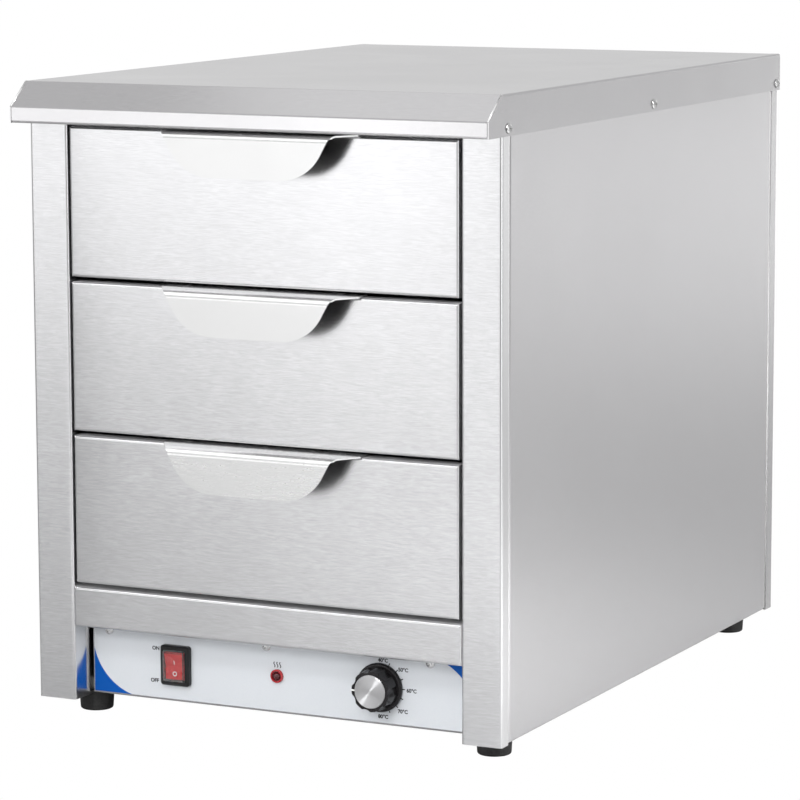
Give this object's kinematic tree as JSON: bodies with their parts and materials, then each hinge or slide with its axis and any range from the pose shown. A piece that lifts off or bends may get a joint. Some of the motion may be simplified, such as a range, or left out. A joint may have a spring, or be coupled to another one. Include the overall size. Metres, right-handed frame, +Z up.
{
  "type": "warming drawer",
  "caption": "Countertop stainless warming cabinet with stacked pull-out drawers for food pans, a thermostat knob, a rocker switch and a pilot lamp.",
  "frame": {"origin": "under the middle of the cabinet, on the plane of the feet's lower faces", "axes": "+Z up, the drawer fronts face -Y, +X is to the right seen from the front"},
  "size_m": [0.407, 0.608, 0.5],
  "materials": {
    "stainless": "fine horizontal brush",
    "pan_steel": "satin pressed",
    "galvanised": "satin zinc",
    "screw_steel": "bright",
    "mineral_wool": "fibrous",
    "element_sheath": "dark oxide",
    "overlay_film": "printed film",
    "black_plastic": "moulded",
    "clear_hood": "clear soft plastic",
    "red_rocker": "translucent red",
    "red_lens": "translucent red",
    "brass": "plain",
    "thermostat_case": "moulded",
    "copper_bulb": "copper",
    "spun_aluminium": "spun",
    "block_ceramic": "plain",
    "black_rubber": "matt",
    "white_nylon": "plain"
  },
  "bodies": {
    "cabinet": {"lid": "stainless", "lid_screws": "screw_steel", "left_side_panel": "stainless", "right_side_panel": "stainless", "rear_panel": "stainless", "base_plate": "galvanised", "left_front_post": "stainless", "right_front_post": "stainless", "top_rail": "stainless", "lower_rail": "stainless", "left_liner_wall": "galvanised", "right_liner_wall": "galvanised", "chamber_ceiling": "galvanised", "chamber_back": "galvanised", "chamber_floor": "galvanised", "insulation_pads": "mineral_wool", "heating_element": "element_sheath", "element_cradles": "galvanised", "control_panel": "stainless", "panel_overlay": "overlay_film", "panel_screws": "screw_steel", "switch_housing": "black_plastic", "switch_hood": "clear_hood", "switch_terminals": "brass", "pilot_lamp_lens": "red_lens", "pilot_lamp_body": "black_plastic", "thermostat_body": "thermostat_case", "thermostat_bulb": "copper_bulb", "cable_gland": "black_plastic", "gland_nut": "black_plastic", "terminal_block": "block_ceramic", "feet": "black_rubber", "foot_screws": "screw_steel", "runner_glides": "white_nylon", "upper_cabinet_runners": "galvanised", "middle_cabinet_runners": "galvanised", "lower_cabinet_runners": "galvanised"},
    "upper_drawer": {"upper_drawer_front": "stainless", "upper_drawer_frame": "galvanised", "upper_drawer_pan": "pan_steel", "upper_drawer_pull": "stainless", "upper_pull_rivets": "screw_steel", "upper_drawer_runners": "galvanised"},
    "middle_drawer": {"middle_drawer_front": "stainless", "middle_drawer_frame": "galvanised", "middle_drawer_pan": "pan_steel", "middle_drawer_pull": "stainless", "middle_pull_rivets": "screw_steel", "middle_drawer_runners": "galvanised"},
    "lower_drawer": {"lower_drawer_front": "stainless", "lower_drawer_frame": "galvanised", "lower_drawer_pan": "pan_steel", "lower_drawer_pull": "stainless", "lower_pull_rivets": "screw_steel", "lower_drawer_runners": "galvanised"},
    "rocker": {"switch_rocker": "red_rocker"},
    "knob": {"thermostat_knob": "black_plastic", "knob_cap": "spun_aluminium", "thermostat_spindle": "screw_steel"}
  },
  "joints": [
    {"name": "upper_drawer_slide", "type": "slide", "parent": "cabinet", "child": "upper_drawer", "axis": [0, -1, 0], "range_m": [0, 0.4]},
    {"name": "middle_drawer_slide", "type": "slide", "parent": "cabinet", "child": "middle_drawer", "axis": [0, -1, 0], "range_m": [0, 0.4]},
    {"name": "lower_drawer_slide", "type": "slide", "parent": "cabinet", "child": "lower_drawer", "axis": [0, -1, 0], "range_m": [0, 0.4]},
    {"name": "rocker_tilt", "type": "hinge", "parent": "cabinet", "child": "rocker", "pos_m": [-0.0885, -0.2548, 0.0469], "axis": [1, 0, 0], "range_deg": [-14, 0]},
    {"name": "knob_turn", "type": "hinge", "parent": "cabinet", "child": "knob", "pos_m": [0.0885, -0.2548, 0.0469], "axis": [0, 1, 0], "range_deg": [0, 270]}
  ]
}
